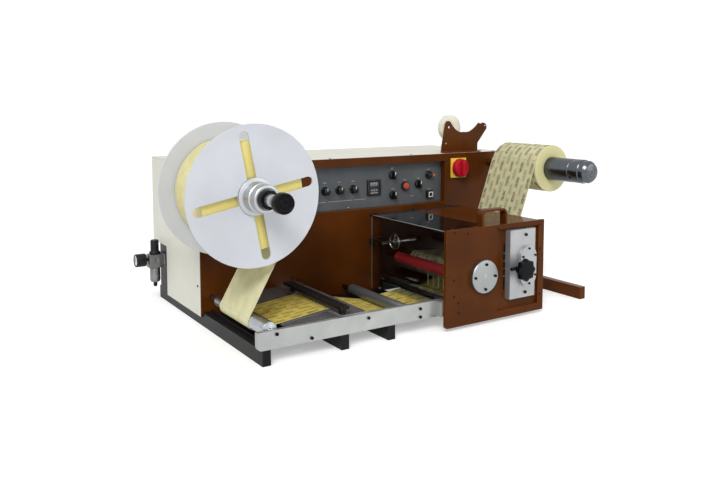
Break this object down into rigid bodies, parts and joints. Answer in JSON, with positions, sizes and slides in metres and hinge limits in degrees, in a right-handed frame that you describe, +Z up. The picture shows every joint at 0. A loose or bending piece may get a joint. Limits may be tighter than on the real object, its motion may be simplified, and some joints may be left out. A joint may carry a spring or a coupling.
{
  "type": "label slitter rewinder",
  "caption": "Bench machine that draws a label web from an unwind mandrel through rotary slitting knives and winds it on a flanged reel.",
  "frame": {"origin": "centre of the footprint, on the surface the skids stand on", "axes": "+X to the operator's right, along the machine; +Y from the operator to the back; +Z up"},
  "size_m": [1.279, 0.88, 0.573],
  "materials": {
    "cream_paint": "semi-gloss cream powder coat",
    "brown_paint": "semi-gloss brown enamel",
    "black_paint": "satin black paint",
    "grey_paint": "matt dark grey paint",
    "machined_aluminium": "turned and milled, bare",
    "polished_steel": "ground and polished",
    "chrome_plate": "bright plated",
    "red_rubber": "ground rubber covering",
    "black_plastic": "moulded, satin",
    "red_plastic": "moulded, glossy",
    "yellow_plastic": "moulded, satin",
    "white_plastic": "milky translucent sheet",
    "backing_paper": "siliconised backing paper, pale cream",
    "label_paper": "printed label stock, yellow",
    "smoked_acrylic": "polished smoked sheet",
    "clear_acrylic": "polished clear sheet",
    "clear_tape": "clear adhesive tape, wound"
  },
  "bodies": {
    "casing": {"left_skid": "black_paint", "middle_skid": "black_paint", "inner_skid": "black_paint", "right_skid": "brown_paint", "chassis_floor": "black_paint", "left_side_panel": "cream_paint", "right_side_panel": "cream_paint", "top_cover": "cream_paint", "front_panel": "brown_paint", "control_plate": "grey_paint", "counter_display": "black_plastic", "main_switch_plate": "yellow_plastic", "tape_bracket": "brown_paint", "rewind_motor": "black_paint", "unwind_brake": "black_paint", "front_rail": "machined_aluminium", "bed_end_plate": "black_paint", "table_plate": "polished_steel", "guide_bar": "black_paint", "station_front_plate": "brown_paint", "station_rear_plate": "black_paint", "bearing_block": "machined_aluminium", "bearing_cover": "machined_aluminium", "side_guard": "clear_acrylic", "web_unwind_span": "backing_paper", "web_run": "label_paper", "web_rewind_span": "backing_paper", "regulator_body": "grey_paint", "pressure_gauge": "black_plastic"},
    "reel": {"rewind_shaft": "polished_steel", "back_disc": "white_plastic", "front_disc": "white_plastic", "rewind_roll": "label_paper", "reel_hub": "machined_aluminium"},
    "reel_clamp": {"clamp_knob": "black_plastic"},
    "unwind": {"unwind_mandrel": "chrome_plate", "unwind_roll": "backing_paper"},
    "tape": {"tape_roll": "clear_tape"},
    "idler": {"idler_roller": "machined_aluminium"},
    "table_return": {"table_roller": "polished_steel"},
    "nip": {"nip_roller": "red_rubber"},
    "pull": {"pull_roller": "polished_steel"},
    "guide": {"guide_roller": "machined_aluminium"},
    "upper_knives": {"upper_knife_shaft": "polished_steel"},
    "lower_knives": {"lower_knife_shaft": "polished_steel"},
    "lid": {"lid_frame": "brown_paint", "lid_window": "smoked_acrylic"},
    "handwheel": {"adjuster_handwheel": "chrome_plate"},
    "engagement": {"engagement_knob": "black_plastic"},
    "speed": {"speed_dial": "black_plastic"},
    "rewind_tension": {"rewind_tension_dial": "black_plastic"},
    "unwind_tension": {"unwind_tension_dial": "black_plastic"},
    "power": {"power_selector": "black_plastic"},
    "direction": {"direction_selector": "black_plastic"},
    "mode": {"mode_selector": "black_plastic"},
    "counter": {"counter_selector": "black_plastic"},
    "stop": {"stop_button": "red_plastic"},
    "start": {"start_button": "black_plastic"},
    "main_switch": {"main_switch_knob": "red_plastic"},
    "air_knob": {"regulator_knob": "black_plastic"}
  },
  "joints": [
    {"name": "reel_spin", "type": "hinge", "parent": "casing", "child": "reel", "pos_m": [-0.4645, -0.261, 0.392], "axis": [0, 1, 0], "continuous": true},
    {"name": "reel_clamp_turn", "type": "hinge", "parent": "reel", "child": "reel_clamp", "pos_m": [-0.4645, -0.401, 0.392], "axis": [0, 1, 0], "range_deg": [0, 360]},
    {"name": "unwind_spin", "type": "hinge", "parent": "casing", "child": "unwind", "pos_m": [0.5655, -0.171, 0.408], "axis": [0, 1, 0], "continuous": true},
    {"name": "idler_spin", "type": "hinge", "parent": "casing", "child": "idler", "pos_m": [-0.4635, -0.161, 0.0806], "axis": [0, 1, 0], "continuous": true},
    {"name": "table_return_spin", "type": "hinge", "parent": "casing", "child": "table_return", "pos_m": [-0.0335, -0.161, 0.051], "axis": [0, 1, 0], "continuous": true},
    {"name": "nip_spin", "type": "hinge", "parent": "casing", "child": "nip", "pos_m": [0.1258, -0.171, 0.137], "axis": [0, 1, 0], "continuous": true},
    {"name": "pull_spin", "type": "hinge", "parent": "casing", "child": "pull", "pos_m": [0.162, -0.171, 0.1395], "axis": [0, 1, 0], "continuous": true},
    {"name": "guide_spin", "type": "hinge", "parent": "casing", "child": "guide", "pos_m": [0.3735, -0.171, 0.161], "axis": [0, 1, 0], "continuous": true},
    {"name": "upper_knives_spin", "type": "hinge", "parent": "casing", "child": "upper_knives", "pos_m": [0.3185, -0.171, 0.1732], "axis": [0, 1, 0], "continuous": true},
    {"name": "lower_knives_spin", "type": "hinge", "parent": "casing", "child": "lower_knives", "pos_m": [0.3185, -0.171, 0.1175], "axis": [0, 1, 0], "continuous": true},
    {"name": "tape_spin", "type": "hinge", "parent": "casing", "child": "tape", "pos_m": [0.4195, 0.072, 0.53], "axis": [0, 1, 0], "continuous": true},
    {"name": "lid_open", "type": "hinge", "parent": "casing", "child": "lid", "pos_m": [0.2275, -0.017, 0.272], "axis": [-1, 0, 0], "range_deg": [0, 90]},
    {"name": "handwheel_turn", "type": "hinge", "parent": "casing", "child": "handwheel", "pos_m": [0.1275, -0.019, 0.181], "axis": [1, 0, 0], "continuous": true},
    {"name": "engagement_turn", "type": "hinge", "parent": "casing", "child": "engagement", "pos_m": [0.2815, -0.421, 0.15], "axis": [0, 1, 0], "range_deg": [-180, 180]},
    {"name": "speed_dial_turn", "type": "hinge", "parent": "casing", "child": "speed", "pos_m": [-0.0865, 0.044, 0.347], "axis": [0, 1, 0], "range_deg": [-135, 135]},
    {"name": "rewind_tension_dial_turn", "type": "hinge", "parent": "casing", "child": "rewind_tension", "pos_m": [-0.0355, 0.044, 0.347], "axis": [0, 1, 0], "range_deg": [-135, 135]},
    {"name": "unwind_tension_dial_turn", "type": "hinge", "parent": "casing", "child": "unwind_tension", "pos_m": [0.0155, 0.044, 0.347], "axis": [0, 1, 0], "range_deg": [-135, 135]},
    {"name": "power_turn", "type": "hinge", "parent": "casing", "child": "power", "pos_m": [0.1655, 0.041, 0.383], "axis": [0, 1, 0], "range_deg": [-45, 45]},
    {"name": "direction_turn", "type": "hinge", "parent": "casing", "child": "direction", "pos_m": [0.1675, 0.041, 0.318], "axis": [0, 1, 0], "range_deg": [-45, 45]},
    {"name": "mode_turn", "type": "hinge", "parent": "casing", "child": "mode", "pos_m": [0.2695, 0.041, 0.348], "axis": [0, 1, 0], "range_deg": [-45, 45]},
    {"name": "counter_turn", "type": "hinge", "parent": "casing", "child": "counter", "pos_m": [0.3135, 0.041, 0.376], "axis": [0, 1, 0], "range_deg": [-45, 45]},
    {"name": "main_switch_turn", "type": "hinge", "parent": "casing", "child": "main_switch", "pos_m": [0.4245, 0.014, 0.396], "axis": [0, 1, 0], "range_deg": [0, 90]},
    {"name": "air_knob_turn", "type": "hinge", "parent": "casing", "child": "air_knob", "pos_m": [-0.519, 0.354, 0.175], "axis": [0, 0, 1], "continuous": true},
    {"name": "stop_press", "type": "slide", "parent": "casing", "child": "stop", "axis": [0, 1, 0], "range_m": [0, 0.003], "stiffness_N_per_m": 250, "springref_m": -0.003},
    {"name": "start_press", "type": "slide", "parent": "casing", "child": "start", "axis": [0, 1, 0], "range_m": [0, 0.003], "stiffness_N_per_m": 250, "springref_m": -0.003}
  ],
  "couplings": [
    {"joint": "unwind_spin", "follows": "reel_spin", "ratio": 1.8043},
    {"joint": "idler_spin", "follows": "reel_spin", "ratio": -6.534},
    {"joint": "table_return_spin", "follows": "reel_spin", "ratio": -7.8713},
    {"joint": "nip_spin", "follows": "reel_spin", "ratio": -8.3602},
    {"joint": "pull_spin", "follows": "reel_spin", "ratio": 6.6965},
    {"joint": "guide_spin", "follows": "reel_spin", "ratio": -6.534},
    {"joint": "upper_knives_spin", "follows": "reel_spin", "ratio": -4.8768},
    {"joint": "lower_knives_spin", "follows": "reel_spin", "ratio": 4.8768}
  ]
}
